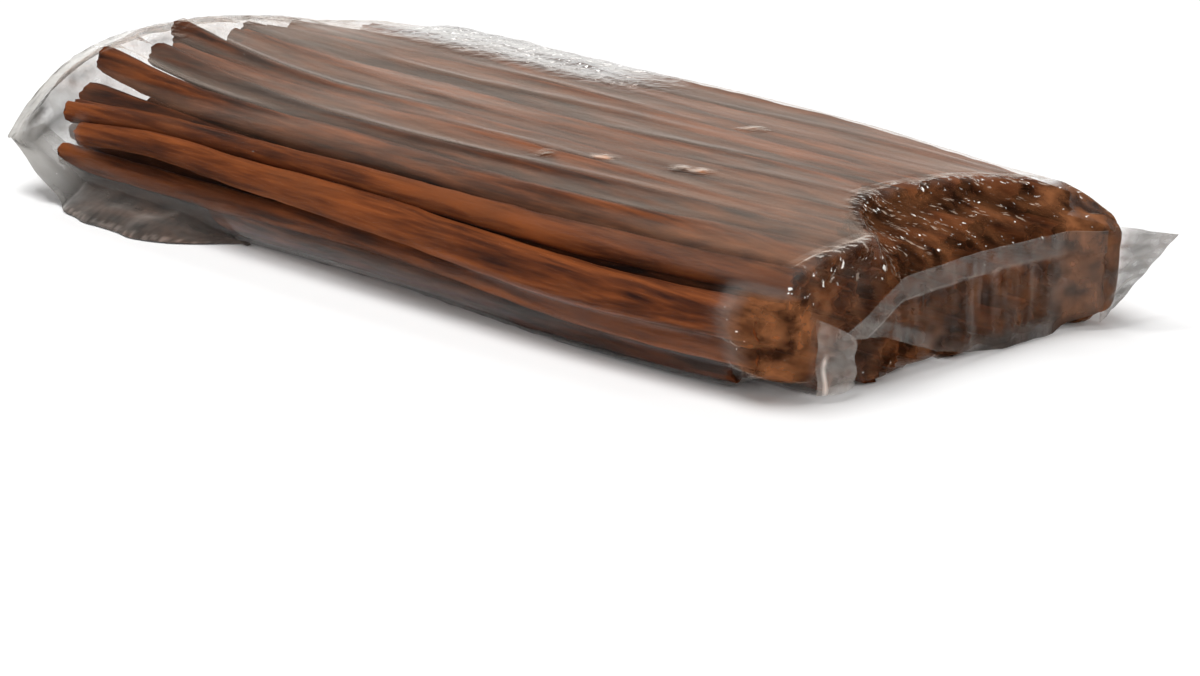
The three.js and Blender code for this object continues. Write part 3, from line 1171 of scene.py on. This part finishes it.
def addMix(tree, share, first, second):  # 6 and 7 are its colour inputs, 2 its colour output
    return addNode(tree, "Mix", 2, {0: share, 6: first, 7: second}, data_type="RGBA")


def addScaled(tree, colour, factor):
    return addNode(tree, "VectorMath", "Vector", {0: colour, "Scale": factor}, operation="SCALE")


def addBump(tree, height, distance, strength):
    return addNode(tree, "Bump", "Normal", {"Height": height, "Distance": distance,
                                            "Strength": strength})


def addAttribute(tree, name):
    return addNode(tree, "Attribute", "Fac", attribute_name=name)


barkLook = {
    # dark, middle and light, each at its tone
    "colours": [(0.34, (0.018, 0.0050, 0.0022)), (0.48, (0.085, 0.021, 0.0052)),
                (0.66, (0.220, 0.058, 0.0135))],
    # the tone adds up grain, bands, patches and the stick's own tint
    "toneFrom": -0.31,
    "toneShares": (0.66, 0.5, 0.3, 0.16),
    "grey": (0.066, 0.029, 0.0145, 1),
    "greyContrast": (4.0, -2.08),  # times and plus
    "greyMost": 0.45,
    "paintedInsideShade": 0.25,
    "roughness": 0.68,
    "specular": 0.08,
    "relief": (0.0007, 0.7),  # distance and strength
    # noise per metre, along and across the sticks
    "grainScale": (22, 330, 330),
    "bandScale": (7, 90, 90),
    "patchScale": (26, 60, 60),
}


def makeBarkMaterial():
    material, tree, shader = newMaterial("cinnamonBark")
    tint = addAttribute(tree, "stickTint")
    # each stick's place is shifted by its tint, so that no two have the same grain
    place = addNode(tree, "VectorMath", "Vector",
                    {0: addNode(tree, "TexCoord", "Object"), 1: tint}, operation="ADD")
    grain = addNoise(tree, place, barkLook["grainScale"], 4, 0.6)
    bands = addNoise(tree, place, barkLook["bandScale"], 3)
    patches = addNoise(tree, place, barkLook["patchScale"], 4)
    tone = barkLook["toneFrom"]
    for part, share in zip((grain, bands, patches, tint), barkLook["toneShares"]):
        tone = addMath(tree, "MULTIPLY_ADD", part, share, tone)
    greyShare = addMath(tree, "MULTIPLY_ADD", patches, *barkLook["greyContrast"],
                        use_clamp=True)
    greyShare = addMath(tree, "MULTIPLY", greyShare, barkLook["greyMost"])
    colour = addMix(tree, greyShare, addRamp(tree, tone, barkLook["colours"]), barkLook["grey"])
    # painted shade on the inner wall of the rolled bark
    insideShade = addMath(tree, "MULTIPLY_ADD", addAttribute(tree, "insideWall"),
                          -barkLook["paintedInsideShade"], 1.0)
    relief = addMath(tree, "ADD", grain, bands)
    feed(tree, shader, {
        "Base Color": addScaled(tree, colour, insideShade),
        "Roughness": barkLook["roughness"],
        "Specular IOR Level": barkLook["specular"],
        "Normal": addBump(tree, relief, *barkLook["relief"]),
    })
    return material


filmLook = {
    "refraction": 1.31,
    "roughness": 0.09,
    "leastShine": 0.001,
    "relief": (0.0020, 1.0),
    "mirror": (0.92, 0.92, 0.92, 1),
    "warmMirror": (1.00, 0.80, 0.64, 1),
    "haze": (0.27, 0.26, 0.245, 1),
    # what shows through crumpled film: bark, broken up into dark and light patches
    "darkBark": (0.030, 0.012, 0.006, 1),
    "lightBark": (0.250, 0.095, 0.038, 1),
    # colour of the painted glints, which are small pale flecks of haze
    "glintColour": (0.95, 0.92, 0.88, 1),
    # noise per metre, along and across the pack
    "fineScale": (60, 260, 260),
    "facetScale": 150,
    "streakScale": (9, 150, 150),
    "fleckScale": (330, 420, 420),
    "mottleScale": (45, 130, 130),
    # contrast of the patterns, times and plus
    "streakContrast": (3.2, -0.6),
    "fleckContrast": (14.0, -11.0),
    "mottleContrast": (3.2, -1.13),
    "fineShare": 0.06,
    "crumpledFlecks": 1.5,
}


def addCrinkles(tree, place, crumple):  # the film's relief, as a normal
    fine = addNoise(tree, place, filmLook["fineScale"], 2)
    facets = addNode(tree, "TexVoronoi", "Distance",
                     {"Vector": place, "Scale": filmLook["facetScale"], "Detail": 1})
    facetHeight = addMath(tree, "MULTIPLY", facets, crumple)
    height = addMath(tree, "MULTIPLY_ADD", fine, filmLook["fineShare"], facetHeight)
    return addBump(tree, height, *filmLook["relief"])


def addStreaks(tree, place, haze):  # the thicker the haze, the fainter its streaks
    streaks = addNoise(tree, place, filmLook["streakScale"], 2)
    streaks = addMath(tree, "MULTIPLY_ADD", streaks, *filmLook["streakContrast"])
    evened = addMath(tree, "SUBTRACT", 1, streaks)
    streaks = addMath(tree, "MULTIPLY_ADD", evened, haze, streaks)
    return addMath(tree, "MULTIPLY", streaks, haze)


def addPaintedGlints(tree, place, crumple):  # painted glints: small bright flecks of pale haze, most where it is crumpled
    glintFlecks = addNoise(tree, place, filmLook["fleckScale"], 2)
    glintFlecks = addMath(tree, "MULTIPLY_ADD", glintFlecks, *filmLook["fleckContrast"])
    return addMath(tree, "MULTIPLY_ADD", crumple, filmLook["crumpledFlecks"], glintFlecks,
                   use_clamp=True)


def addHazeColour(tree, place, warmth):
    mottle = addNoise(tree, place, filmLook["mottleScale"], 4)
    mottle = addMath(tree, "MULTIPLY_ADD", mottle, *filmLook["mottleContrast"],
                     use_clamp=True)
    barkSeen = addMix(tree, mottle, filmLook["darkBark"], filmLook["lightBark"])
    colour = addMix(tree, warmth, filmLook["haze"], barkSeen)
    return addScaled(tree, colour, addAttribute(tree, "shade"))


def addShine(tree, normal):  # the refraction is turned over on the back: both faces shine alike
    refraction = filmLook["refraction"]
    onBack = addNode(tree, "NewGeometry", "Backfacing")
    refraction = addMath(tree, "MULTIPLY_ADD", onBack, 1 / refraction - refraction, refraction)
    fresnel = addNode(tree, "Fresnel", "Fac", {"IOR": refraction, "Normal": normal})
    shine = addMath(tree, "ADD", fresnel, addAttribute(tree, "gleam"))
    return addMath(tree, "MAXIMUM", shine, filmLook["leastShine"])


def makeFilmMaterial():
    material, tree, shader = newMaterial("clearFilm")
    place = addNode(tree, "TexCoord", "Object")
    crumple = addAttribute(tree, "crumple")
    warmth = addAttribute(tree, "warmth")
    normal = addCrinkles(tree, place, crumple)
    shine = addShine(tree, normal)
    # the flecks are painted glints, laid on as pale haze
    glintFlecks = addPaintedGlints(tree, place, crumple)
    haze = addMath(tree, "MAXIMUM", addStreaks(tree, place, addAttribute(tree, "haze")), glintFlecks)
    # what shines acts as a mirror, what is hazy as a pale sheet, and the rest is clear
    opacity = addMath(tree, "ADD", shine, haze)
    mirrorShare = addMath(tree, "DIVIDE", shine, opacity)
    hazeColour = addMix(tree, glintFlecks, addHazeColour(tree, place, warmth), filmLook["glintColour"])
    mirrorColour = addMix(tree, warmth, filmLook["mirror"], filmLook["warmMirror"])
    feed(tree, shader, {
        "Base Color": addMix(tree, mirrorShare, hazeColour, mirrorColour),
        "Metallic": mirrorShare,
        "Roughness": filmLook["roughness"],
        "Specular IOR Level": 0,
        "Alpha": opacity,
        "Normal": normal,
    })
    return material


barkMaterial = makeBarkMaterial()
filmMaterial = makeFilmMaterial()
for stickLayer in stickLayers:
    dress(stickLayer, barkMaterial)
for filmPiece in [filmBag, *sheets]:
    dress(filmPiece, filmMaterial)
print("materials made")


# floor and light

studio = {
    "floorSize": 12,
    "floorColour": (0.90, 0.90, 0.90, 1),
    "floorRoughness": 0.8,
    # from the horizon up
    "sky": [(0.0, (0.76, 0.75, 0.74)), (0.44, (0.74, 0.73, 0.72)), (0.60, (0.06, 0.06, 0.06))],
    # name, place, size and power
    "lights": [("keyLight", (-0.2, -0.5, 2.3), (1.6, 1.2), 54),
               ("fillLight", (1.9, -1.3, 1.3), (0.9, 0.9), 8),
               ("sparkLight", (1.8, 0.6, 1.2), (0.12, 0.12), 3),
               ("backLight", (-1.0, 1.6, 2.2), (1.4, 0.6), 12)],
}


def makeFloor():
    bpy.ops.mesh.primitive_plane_add(size=studio["floorSize"], location=(0, 0, packLow.z))
    floor = bpy.context.object
    floor.name = "floor"
    material, tree, shader = newMaterial("paleFloor")
    feed(tree, shader, {"Base Color": studio["floorColour"],
                        "Roughness": studio["floorRoughness"]})
    floor.data.materials.append(material)


def makeWorld():
    world = bpy.data.worlds.new("studio")
    scene.world = world
    world.use_nodes = True
    tree = world.node_tree
    direction = addNode(tree, "TexCoord", "Generated")
    height = addNode(tree, "SeparateXYZ", "Z", {"Vector": direction})
    feed(tree, tree.nodes["Background"], {"Color": addRamp(tree, height, studio["sky"])})


def addSoftLight(name, place, size, power):
    position = Vector(place)
    bpy.ops.object.light_add(type="AREA", location=position,
                             rotation=(-position).to_track_quat("-Z", "Y").to_euler())
    light = bpy.context.object
    light.name = name
    light.data.shape = "RECTANGLE"
    light.data.size, light.data.size_y = size
    light.data.energy = power


makeFloor()
makeWorld()
for light in studio["lights"]:
    addSoftLight(*light)
scene.view_settings.view_transform = "Standard"
print("studio ready")
